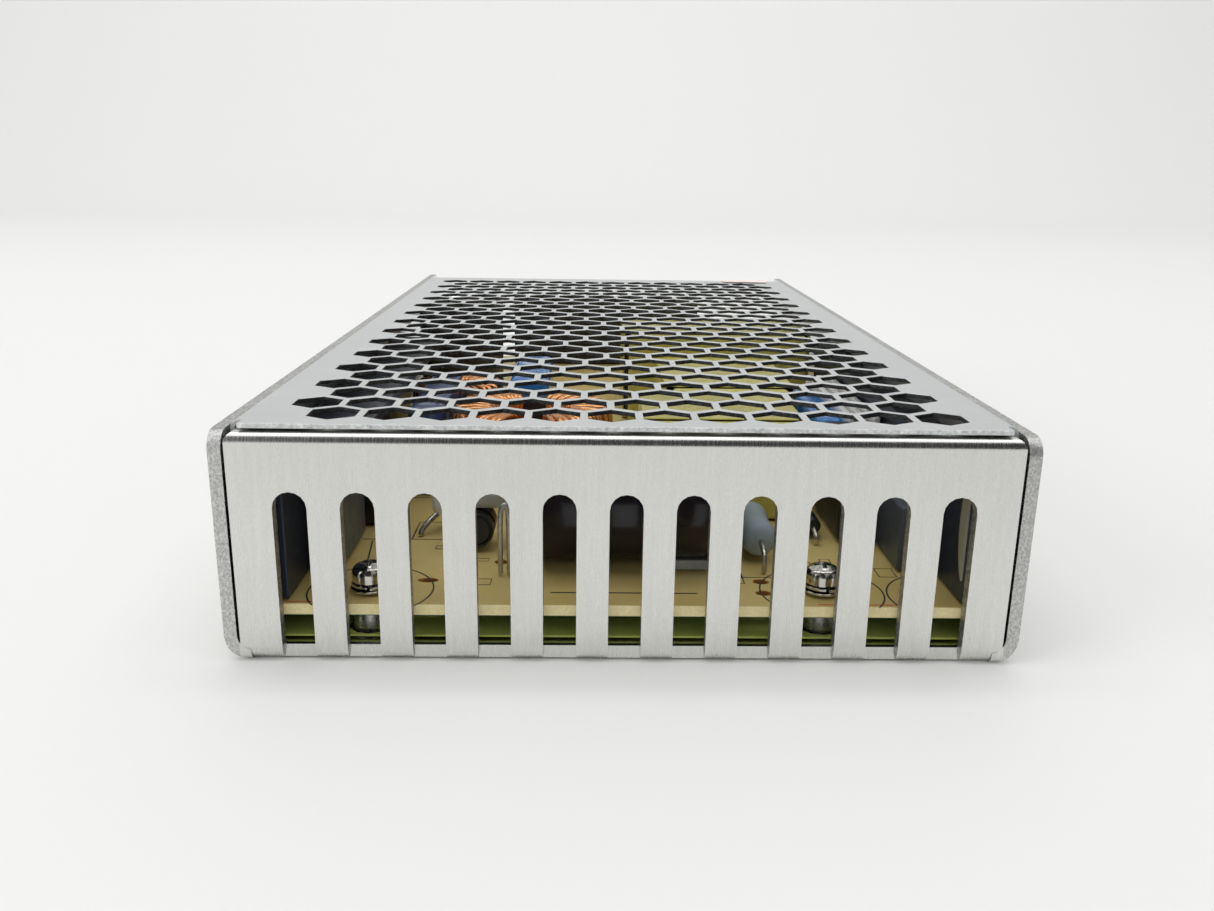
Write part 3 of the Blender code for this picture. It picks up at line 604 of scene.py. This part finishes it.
def soften(piece, width, segments=2, limit=30.0):
    """Rounded edges with flat faces kept flat in the shading."""
    change = piece.modifiers.new("soft_edges", "BEVEL")
    change.width = width * MM
    change.segments = segments
    change.limit_method = "ANGLE"
    change.angle_limit = math.radians(limit)
    flat = piece.modifiers.new("flat_faces", "WEIGHTED_NORMAL")
    flat.keep_sharp = True
    return piece


def cut_mesh(mesh, tools):
    """Cut tool meshes out of a mesh and return the finished mesh."""
    target = bpy.data.objects.new("cut_target", mesh)
    bpy.context.scene.collection.objects.link(target)
    helpers = []
    for tool_mesh in tools:
        helper = bpy.data.objects.new("cut_helper", tool_mesh)
        bpy.context.scene.collection.objects.link(helper)
        helpers.append(helper)
        change = target.modifiers.new("cut", "BOOLEAN")
        change.operation = "DIFFERENCE"
        change.solver = "EXACT"
        change.object = helper
    graph = bpy.context.evaluated_depsgraph_get()
    finished = bpy.data.meshes.new_from_object(target.evaluated_get(graph))
    for thing in (target, *helpers):
        bpy.data.objects.remove(thing, do_unlink=True)
    return finished


def refined(node, materials, slot, body, bevel, segments=2, finishes=(), chooser=None, cuts=()):
    """A copy of a CAD node with clean polygons and softened edges, shown in its place.

    The faces are split at each x in cuts, so the chooser can give the two sides different finishes.
    """
    shape = bmesh.new()
    shape.from_mesh(frame["nodes"][node].data)
    bmesh.ops.remove_doubles(shape, verts=shape.verts, dist=1e-7)
    bmesh.ops.dissolve_limit(shape, angle_limit=math.radians(1.0), verts=shape.verts, edges=shape.edges)
    for x in cuts:
        everything = [*shape.verts, *shape.edges, *shape.faces]
        spot, across = (x * MM, 0.0, 0.0), (1.0, 0.0, 0.0)
        bmesh.ops.bisect_plane(shape, geom=everything, plane_co=spot, plane_no=across)
    for face in shape.faces:
        centre = face.calc_center_median()
        spot = (centre.x / MM, centre.y / MM - FRONT_Y, centre.z / MM)
        face.material_index = chooser(spot, face.normal) if chooser else 0
    mesh = bpy.data.meshes.new(node + "_shape")
    shape.to_mesh(mesh)
    shape.free()
    for name in (slot, *finishes):
        mesh.materials.append(materials[name])
    piece = show(node + "_detail", mesh, slot, body, node)
    return soften(piece, bevel, segments) if bevel else piece


def body_of_node(node):
    """The moving or fixed body that a node belongs to."""
    for name, nodes in frame["record"]["behaviour"]["bodies"].items():
        if node in nodes:
            return name
    return BODY


def slot_of_node(node):
    """The material slot that the record gives a node."""
    for entry in frame["record"]["subparts"]:
        if entry["node"] == node:
            return entry["material_slot"]
    return None


# ---------------------------------------------------------------- sheet metal and board

def chassis_finish(spot, normal):
    """Sheared edges: 2 on the front ends of the side walls, 1 on their tops, far ends and the slots."""
    x, depth, z = spot
    on_side_wall = abs(x) > WALL_INSIDE
    if on_side_wall and depth < 3.0 and normal.y < -0.2:
        return 2
    top_or_far_end = on_side_wall and (normal.y > 0.6 or (normal.z > 0.6 and z > 27.0))
    in_end_wall = depth < 1.6 and z > 0.2 and abs(x) < END_WALL_HALF
    slot_wall = in_end_wall and abs(normal.y) < 0.3 and abs(normal.x) > 0.02
    return 1 if top_or_far_end or slot_wall else 0


def cover_finish(spot, normal):
    """2 on the sheared front edge, 1 on the walls of the punched holes."""
    x, depth, z = spot
    if depth < 1.5 and normal.y < -0.5:
        return 2
    in_sheet = z > COVER_LOW_FACE - 0.1 and abs(x) < FIELD_HALF
    return 1 if abs(normal.z) < 0.3 and in_sheet else 0


def board_finish(spot, normal):
    """1 on the walls of the drilled holes."""
    x, depth, _ = spot
    inner = abs(x) < FIELD_HALF and BOARD_FRONT + 0.2 < depth < BOARD_FIELD_END
    return 1 if abs(normal.z) < 0.3 and inner else 0


def tab_finish(spot, normal):
    """1 on the metal tab above the step of the moulding."""
    return 1 if spot[2] > 16.25 else 0


def make_sheet_metal(materials):
    """The tray, cover and board, each with its cut edges in their own finish, and the plain film."""
    refined("chassis", materials, "brushed_aluminium", BODY, 0.12, 2,
            ("cut_metal", "wall_edge"), chassis_finish, (-WALL_GAP, WALL_GAP))
    refined("cover", materials, "zinc_steel", BODY, 0.06, 1, ("shaded_punched_steel", "rolled_edge"), cover_finish)
    refined("circuit_board", materials, "tan_laminate", BODY, 0.08, 1, ("brown_hole_wall",), board_finish)
    refined("insulating_sheet", materials, "insulating_film", BODY, 0.0)


def stroke(print_shape, path, width=0.22, finish=0):
    """Flat printed line along (x, depth) points, a hair above the board."""
    low, high = BOARD_TOP + 0.005, BOARD_TOP + 0.03
    rows = [Vector(point) for point in path]
    left, right = [], []
    for i, point in enumerate(rows):
        along = (rows[min(i + 1, len(rows) - 1)] - rows[max(i - 1, 0)]).normalized()
        across = Vector((-along.y, along.x)) * width / 2
        left.append(point + across)
        right.append(point - across)
    rings = []
    for a, b in zip(left, right):
        rings.append([(a.x, a.y, low), (b.x, b.y, low), (b.x, b.y, high), (a.x, a.y, high)])
    print_shape.loft(rings, finish)


def circle_path(x, depth, radius, start=0.0, end=360.0, steps=40):
    """Arc round a point, between two angles in degrees."""
    angles = [math.radians(start + (end - start) * step / steps) for step in range(steps + 1)]
    return [(x + radius * math.cos(a), depth + radius * math.sin(a)) for a in angles]


def box_path(across, depth):
    """Closed rectangle."""
    x0, x1 = across
    d0, d1 = depth
    return [(x0, d0), (x1, d0), (x1, d1), (x0, d1), (x0, d0)]


OUTLINED = ("power_resistor", "upright_resistor", "line_capacitor", "safety_capacitor", "film_capacitor")

# Small printed rectangles, as (across, depth).
PRINTED_BOXES = (
    ((34.9, 37.3), (12.2, 15.2)), ((-26.4, -24.4), (21.6, 22.8)), ((-20.6, -18.4), (17.0, 18.0)),
    ((-19.4, -17.4), (8.6, 10.6)), ((14.6, 16.2), (9.6, 13.2)), ((28.0, 29.4), (14.4, 18.6)),
    ((25.0, 26.4), (13.6, 17.4)), ((37.4, 40.4), (7.8, 9.6)), ((14.0, 15.0), (5.6, 6.6)),
    ((-33.6, -31.8), (17.4, 20.0)),
)


def make_board_print(materials):
    """Outlines printed round the parts and the screws; plain shapes only, no lettering."""
    made = Shape()
    for number in range(1, 5):
        across, depth, _ = span(f"board_screw_{number}")
        arc = (0, 360) if number > 2 else (-38, 218)
        stroke(made, circle_path(middle(across), middle(depth), 8.0, *arc))
    stroke(made, circle_path(42.3, 5.4, 8.0, 120, 205))
    stroke(made, [(-9.4, 6.2), (9.6, 6.2)], 0.3)
    stroke(made, [(-37.6, 25.4), (-34.6, 25.4)])
    stroke(made, [(-36.0, 24.8), (-34.9, 15.0)])
    stroke(made, circle_path(-16.4, 11.2, 3.4, 10, 80))
    for node in OUTLINED:
        across, depth, _ = span(node)
        stroke(made, box_path((across[0] - 0.8, across[1] + 0.8), (depth[0] - 0.8, depth[1] + 0.8)))
    for across, depth in PRINTED_BOXES:
        stroke(made, box_path(across, depth), 0.16)
    red_line = BOARD_FRONT + 0.55
    for x0, x1 in ((-42.4, -38.6), (24.6, 36.6)):
        stroke(made, [(x0, red_line), (x1, red_line)], 0.22, 1)
    mesh = made.mesh("board_print", [materials["board_print"], materials["red_print"]])
    show("board_print", mesh, "tan_laminate", BODY)


# ---------------------------------------------------------------- fasteners

def make_screw(node, materials, head_low, head_radius, washers):
    """Domed pan head with a cross recess on a threaded shank, with its captive washers."""
    across, depth, height = span(node)
    x, d = middle(across), middle(depth)
    top = height[1]
    shank = 1.4 if washers else 1.7
    made = Shape()
    profile = [(0.0, height[0])]
    pitch = 0.5
    z = height[0]
    while z < head_low - pitch:
        profile += [(shank - 0.22, z), (shank, z + pitch / 2)]
        z += pitch
    profile += [(shank - 0.1, head_low), (head_radius - 0.2, head_low), (head_radius, head_low + 0.2)]
    rise = top - head_low
    profile += [(head_radius, head_low + rise * 0.42)]
    for step in range(1, 9):
        angle = math.pi / 2 * step / 8
        dome_radius = head_radius - 0.75 * (1 - math.cos(angle))
        profile.append((dome_radius, head_low + rise * (0.42 + 0.44 * math.sin(angle))))
    profile += [(head_radius * 0.45, top - 0.04), (0.0, top)]
    made.turned(profile, (x, d, 0.0))
    recess = []
    reach, half = head_radius * 0.56, 0.3
    for turn in (0.0, math.pi / 2):
        rings = []
        for z, scale in ((top - rise * 0.62, 0.35), (top + 0.3, 1.08)):
            far = reach * scale
            ring = []
            for u, v in ((far, half), (-far, half), (-far, -half), (far, -half)):
                recess_x = x + u * math.cos(turn) - v * math.sin(turn)
                ring.append((recess_x, d + u * math.sin(turn) + v * math.cos(turn), z))
            rings.append(ring)
        recess.append(Shape().loft(rings).mesh("recess", []))
    mesh = cut_mesh(made.mesh(node, [materials["bright_steel"]]), recess)
    body = body_of_node(node)
    piece = show(node + "_detail", mesh, "bright_steel", body, node)
    soften(piece, 0.05, 1, 50.0)
    if washers:
        low = BOARD_TOP + 0.3
        profile = [(1.6, low), (2.45, low), (2.55, low + 0.1)]
        profile += [(2.55, low + 0.3), (2.45, low + 0.4), (1.6, low + 0.4)]
        flat = Shape().turned(profile, (x, d, 0.0))
        rings = []
        for step in range(37):
            angle = math.radians(-80 + 350 * step / 36)
            lift = low + 0.44 + 0.18 * step / 36
            ring = []
            for radius, z in ((1.6, 0.0), (2.3, 0.0), (2.38, 0.1), (2.38, 0.34), (2.3, 0.44), (1.6, 0.44)):
                ring.append((x + radius * math.cos(angle), d + radius * math.sin(angle), lift + z))
            rings.append(ring)
        flat.loft(rings)
        washer_mesh = flat.mesh(node + "_washers", [materials["bright_steel"]])
        show(node + "_washers", washer_mesh, "bright_steel", body)


def make_fasteners(materials):
    """Board screws on their standoffs, terminal screws and cover screws."""
    for number in range(1, 5):
        make_screw(f"board_screw_{number}", materials, BOARD_TOP + 1.4, 2.3, True)
        across, depth, height = span(f"standoff_{number}")
        radius = (across[1] - across[0]) / 2
        profile = [(1.75, height[0]), (radius - 0.15, height[0]), (radius, height[0] + 0.15)]
        profile += [(radius, height[1] - 0.15), (radius - 0.15, height[1]), (1.75, height[1])]
        spacer = Shape().turned(profile, (middle(across), middle(depth), 0.0))
        mesh = spacer.mesh(f"standoff_{number}", [materials["tinned_metal"]])
        show(f"standoff_{number}_detail", mesh, "tinned_metal", BODY, f"standoff_{number}")
    for number in range(1, 6):
        node = f"terminal_screw_{number}"
        make_screw(node, materials, span(node)[2][1] - 2.4, 3.3, False)
    for side in ("left", "right"):
        refined(f"cover_screw_{side}", materials, "bright_steel", BODY, 0.06)


# ---------------------------------------------------------------- capacitors and resistors

SCORED_TOP_RADIUS = 4.5     # only larger cans have a scored top


def can(node, materials, axis, sleeve, base_first=True):
    """Electrolytic can: shrunk sleeve folded over both ends, scored aluminium top, rubber base."""
    across, depth, height = span(node)
    runs = {"x": across, "y": depth, "z": height}
    low, high = runs[axis]
    radius = (height[1] - height[0]) / 2 if axis != "z" else (across[1] - across[0]) / 2
    centre = [middle(across), middle(depth), middle(height)]
    centre["xyz".index(axis)] = 0.0
    sign, start = (1, low) if base_first else (-1, high)
    length = high - low
    lip = radius * 0.84
    steps = [(lip, 0.35), (lip, 0.06), (radius - 0.35, 0.0), (radius - 0.1, 0.1), (radius, 0.35)]
    steps += [(radius, 1.5), (radius - 0.25, 1.9), (radius - 0.5, 2.2), (radius - 0.25, 2.5)]
    steps += [(radius - 0.02, 2.9), (radius, length * 0.4), (radius, length - 0.9)]
    steps += [(radius - 0.12, length - 0.42), (radius - 0.42, length - 0.1), (radius - 0.8, length)]
    steps += [(lip, length - 0.05), (lip, length - 0.35)]
    made = Shape()
    made.turned([(r, start + sign * a) for r, a in steps], centre, axis, 64)
    top = [(0.0, length - 1.2), (lip + 0.05, length - 1.2), (lip + 0.05, length - 0.2)]
    top += [(lip - 0.3, length - 0.14), (lip - 0.5, length - 0.3), (0.0, length - 0.3)]
    made.turned([(r, start + sign * a) for r, a in top], centre, axis, 64, 1)
    base = [(0.0, 0.25), (lip - 0.2, 0.25), (lip - 0.05, 0.4), (lip - 0.05, 1.2), (0.0, 1.2)]
    made.turned([(r, start + sign * a) for r, a in base], centre, axis, 48, 2)
    mesh = made.mesh(node, [materials[sleeve], materials["bare_aluminium"], materials["rubber"]])
    if radius > SCORED_TOP_RADIUS:
        grooves = []
        half = 0.14
        for turn in (math.radians(30), math.radians(150), math.radians(270)):
            rings = []
            for reach in (0.0, lip * 0.75):
                ring = []
                for across_way, along in ((half, -0.16), (-half, -0.16), (-half, 0.3), (half, 0.3)):
                    u = reach * math.cos(turn) - across_way * math.sin(turn)
                    v = reach * math.sin(turn) + across_way * math.cos(turn)
                    w = start + sign * (length - 0.3 + along)
                    offset = {"x": (w, u, v), "y": (u, w, v), "z": (u, v, w)}[axis]
                    ring.append([c + o for c, o in zip(centre, offset)])
                rings.append(ring)
            grooves.append(Shape().loft(rings).mesh("groove", []))
        mesh = cut_mesh(mesh, grooves)
    show(node + "_detail", mesh, sleeve, BODY, node)


def make_capacitors(materials):
    """Three cans and four moulded blocks."""
    can("bulk_capacitor", materials, "x", "dark_sleeve", base_first=False)
    can("supply_capacitor", materials, "y", "black_moulding")
    can("output_capacitor", materials, "z", "black_moulding")
    blocks = {
        "film_capacitor": ("blue_epoxy", 1.6, 1.2),
        "line_capacitor": ("navy_epoxy", 0.9, 0.6),
        "input_capacitor": ("black_moulding", 0.9, 0.6),
        "safety_capacitor": ("blue_epoxy", 1.4, 1.1),
    }
    for node, (slot, corner, edge) in blocks.items():
        across, depth, height = span(node)
        made = Shape().cushion(across, depth, height, corner, edge)
        show(node + "_detail", made.mesh(node, [materials[slot]]), slot, BODY, node)


def make_resistors(materials):
    """The power resistor on bent leads and the upright one on a slanted lead."""
    x, d, z = 19.3, 16.4, 10.15
    body = [(0.0, 0.0), (0.7, 0.02), (1.5, 0.2), (2.1, 0.6), (2.45, 1.3), (2.5, 2.2), (2.42, 3.0)]
    body += [(2.3, 3.6), (2.3, 6.0), (2.3, 8.4), (2.42, 9.0), (2.5, 9.8), (2.45, 10.7), (2.1, 11.4)]
    body += [(1.5, 11.8), (0.0, 12.0)]
    made = Shape().turned(body, (x, d, z), "y", 48)
    for near, bend, foot in ((17.0, 14.6, 12.9), (27.8, 30.2, 31.9)):
        path = [(x, near, z), (x, (near + bend) / 2, z), (x, bend, z - 0.1)]
        path += [(x, foot + (bend - foot) * 0.3, z - 0.6), (x, foot, z - 1.5), (x, foot, FOOT_OF_LEADS)]
        made.tube(curve_through(path), 0.36, 12, 1)
    mesh = made.mesh("power_resistor", [materials["grey_ceramic"], materials["tinned_metal"]])
    show("power_resistor_detail", mesh, "grey_ceramic", BODY, "power_resistor")

    body = [(0.0, 9.3), (1.2, 9.35), (1.8, 9.6), (2.15, 10.3), (2.2, 11.3), (2.1, 12.3), (2.1, 15.1)]
    body += [(2.2, 15.9), (2.15, 16.9), (1.8, 17.6), (1.2, 17.85), (0.0, 17.9)]
    made = Shape().turned(body, (-25.8, 30.0, 0.0), "z", 40)
    path = [(-29.2, 26.6, FOOT_OF_LEADS), (-29.1, 26.8, 7.7), (-28.3, 27.6, 8.7)]
    path += [(-27.2, 28.7, 9.6), (-26.0, 29.8, 10.6)]
    made.tube(curve_through(path), 0.42, 12, 1)
    mesh = made.mesh("upright_resistor", [materials["white_moulding"], materials["tinned_metal"]])
    show("upright_resistor_detail", mesh, "white_moulding", BODY, "upright_resistor")


def make_diode_and_link(materials):
    """The small axial diode and the looped wire."""
    body = [(0.0, 0.0), (0.7, 0.02), (1.1, 0.15), (1.3, 0.45)]
    body += [(1.3, 4.05), (1.1, 4.35), (0.7, 4.48), (0.0, 4.5)]
    made = Shape().turned(body, (28.7, 26.6, 8.8), "y", 32)
    for near, bend, foot in ((26.8, 25.4, 24.2), (30.9, 32.1, 33.2)):
        path = [(28.7, near, 8.8), (28.7, (near + bend) / 2, 8.8), (28.72, bend, 8.75), (28.8, foot, 8.1)]
        path += [(28.8, foot, FOOT_OF_LEADS)]
        made.tube(curve_through(path), 0.35, 12, 1)
    mesh = made.mesh("small_diode", [materials["black_moulding"], materials["tinned_metal"]])
    show("small_diode_detail", mesh, "black_moulding", BODY, "small_diode")

    path = [(-16.3, 11.8, FOOT_OF_LEADS), (-16.3, 11.8, 11.4), (-16.25, 11.85, 15.0), (-16.1, 12.0, 16.2)]
    path += [(-15.7, 12.1, 16.75), (-15.3, 12.0, 16.2), (-15.15, 11.85, 15.0), (-15.1, 11.8, 11.4)]
    path += [(-15.1, 11.8, FOOT_OF_LEADS)]
    made = Shape().tube(curve_through(path), 0.36, 12)
    mesh = made.mesh("wire_link", [materials["tinned_metal"]])
    show("wire_link_detail", mesh, "tinned_metal", BODY, "wire_link")


def make_adhesive(materials):
    """Setting compound: an uneven bead under the long can and a lump on the small one."""
    across, depth, height = span("adhesive_bead")
    rings = []
    for step in range(25):
        x = across[0] + (across[1] - across[0]) * step / 24
        wave = 0.10 * math.sin(step * 1.7) + 0.06 * math.sin(step * 3.1)
        low, near = height[0], depth[0] + 0.05 - min(wave, 0.0)
        ring = [(x, near, low), (x, depth[1], low), (x, depth[1] - 0.9, height[1] - 0.12 + 0.1 * wave)]
        ring += [(x, near + 0.45, height[1] - 0.05 + 0.1 * wave), (x, near + 0.08, low + 0.4)]
        rings.append(ring)
    mesh = Shape().loft(rings).mesh("adhesive_bead", [materials["clear_adhesive"]])
    show("adhesive_bead_detail", mesh, "clear_adhesive", BODY, "adhesive_bead")
    made = Shape().cushion(*span("adhesive_cap"), 1.6, 1.4)
    mesh = made.mesh("adhesive_cap", [materials["clear_adhesive"]])
    show("adhesive_cap_detail", mesh, "clear_adhesive", BODY, "adhesive_cap")


# ---------------------------------------------------------------- wound parts

def squared(value, power=0.36):
    """Pushes a sine towards its ends, which turns a circle into a rounded square."""
    return math.copysign(abs(value) ** power, value)


def winding(centre, start, sweep, turns, section, layer_step):
    """One continuous wire wound round a ring core; alternate turns lie higher at the bore."""
    x, d = centre
    inner, outer, low, high = section
    per_turn = 20
    path = []
    for step in range(turns * per_turn + 1):
        phase = step / per_turn
        angle = math.radians(start + sweep * phase / turns)
        lift = layer_step * (0.5 - 0.5 * math.cos(math.pi * phase))
        u = 2 * math.pi * (phase % 1.0)
        reach_r = (outer - inner) / 2 + lift * 0.5
        reach_z = (high - low) / 2 + lift * 0.5
        radius = (outer + inner) / 2 + reach_r * squared(math.cos(u))
        z = (low + high) / 2 + reach_z * squared(math.sin(u))
        path.append((x + radius * math.cos(angle), d + radius * math.sin(angle), z))
    return path


def make_chokes(materials):
    """The large ring choke with its two coils, and the small one further back."""
    across, depth, _ = span("line_choke_core")
    centre = (middle(across), middle(depth))
    section = (6.75, 12.95, 9.0, 20.6)
    for node, start in (("line_choke_coil_left", 108.0), ("line_choke_coil_right", -72.0)):
        made = Shape().tube(winding(centre, start, 144.0, 26, section, 0.55), 0.52, 8)
        mesh = made.mesh(node, [materials["enamelled_copper"]])
        show(node + "_detail", mesh, "enamelled_copper", BODY, node, angle=60)
    refined("line_choke_core", materials, "ferrite", BODY, 0.4, 3)
    across, depth, _ = span("filter_choke")
    centre = (middle(across), middle(depth))
    made = Shape().tube(winding(centre, 15.0, 330.0, 30, (3.55, 8.65, 8.9, 17.7), 0.4), 0.42, 8)
    core = [(4.3, 9.8), (7.9, 9.8), (7.9, 16.8), (4.3, 16.8)]
    made.turned(core, (*centre, 0.0), "z", 32, 1)
    mesh = made.mesh("filter_choke", [materials["enamelled_copper"], materials["ferrite"]])
    show("filter_choke_detail", mesh, "enamelled_copper", BODY, "filter_choke", angle=60)


def make_transformers(materials):
    """Three ferrite cores, each with a taped coil that shows at both ends, and a tape band."""
    for prefix in ("drive_transformer", "storage_choke", "main_transformer"):
        refined(f"{prefix}_core", materials, "ferrite", BODY, 0.35, 3)
        core_across, core_depth, core_height = span(f"{prefix}_core")
        across, depth, height = span(f"{prefix}_coil")
        made = Shape()
        for near, far in ((depth[0], core_depth[0] - 0.25), (core_depth[1] + 0.25, depth[1])):
            made.cushion(across, (near, far), height, 0.9, 0.8)
        inner = (core_across[0] + 4.6, core_across[1] - 4.6)
        window = (core_height[0] + 4.0, core_height[1] - 4.0)
        made.cushion(inner, (depth[0] + 0.6, depth[1] - 0.6), window, 0.8, 0.6)
        mesh = made.mesh(f"{prefix}_coil", [materials["yellow_tape"]])
        show(f"{prefix}_coil_detail", mesh, "yellow_tape", BODY, f"{prefix}_coil")
        refined(f"{prefix}_tape", materials, "yellow_tape", BODY, 0.42, 4)


# ---------------------------------------------------------------- everything else on the board

# How far the edges of the plain pieces are rounded, in millimetres.
BEVELS = {
    "heat_spreader_left": 0.15, "heat_spreader_right": 0.15, "power_device_left": 0.3,
    "output_rectifier": 0.3, "ribbed_insulator": 0.12, "terminal_block": 0.2,
    "trimmer_body": 0.2, "trimmer_rotor": 0.1, "plain_label": 0.0,
    **{f"clamp_plate_{number}": 0.15 for number in range(1, 6)},
}


def make_power_device(materials):
    """The stepped device on the right heat spreader, and the cream patch beside it, darkened with painted
    shade.
    """
    refined("power_device_right", materials, "grey_moulding", BODY, 0.3, 2, ("tinned_metal",), tab_finish)
    outline = [(2.95, 10.2), (3.8, 11.2), (4.6, 13.2), (5.1, 15.6), (5.2, 18.0), (5.0, 20.5)]
    outline += [(4.6, 23.0), (2.95, 23.0)]
    # The patch's dark beige colour is painted shade on a cream piece.
    patch = Shape().plate(outline, 42.36, 42.64)
    show("shaded_cream_patch", patch.mesh("shaded_cream_patch", [materials["shaded_cream_patch"]]), "white_moulding", BODY)


def build():
    """Everything, in order; a bare CAD node left showing still gets its slot's material."""
    materials = make_materials()
    make_camera()
    make_surroundings()
    for node, thing in frame["nodes"].items():
        thing.data.materials.clear()
        thing.data.materials.append(materials[slot_of_node(node)])
    make_sheet_metal(materials)
    make_board_print(materials)
    make_fasteners(materials)
    make_capacitors(materials)
    make_resistors(materials)
    make_diode_and_link(materials)
    make_adhesive(materials)
    make_chokes(materials)
    make_transformers(materials)
    for node, width in BEVELS.items():
        refined(node, materials, slot_of_node(node), body_of_node(node), width)
    make_power_device(materials)


build()
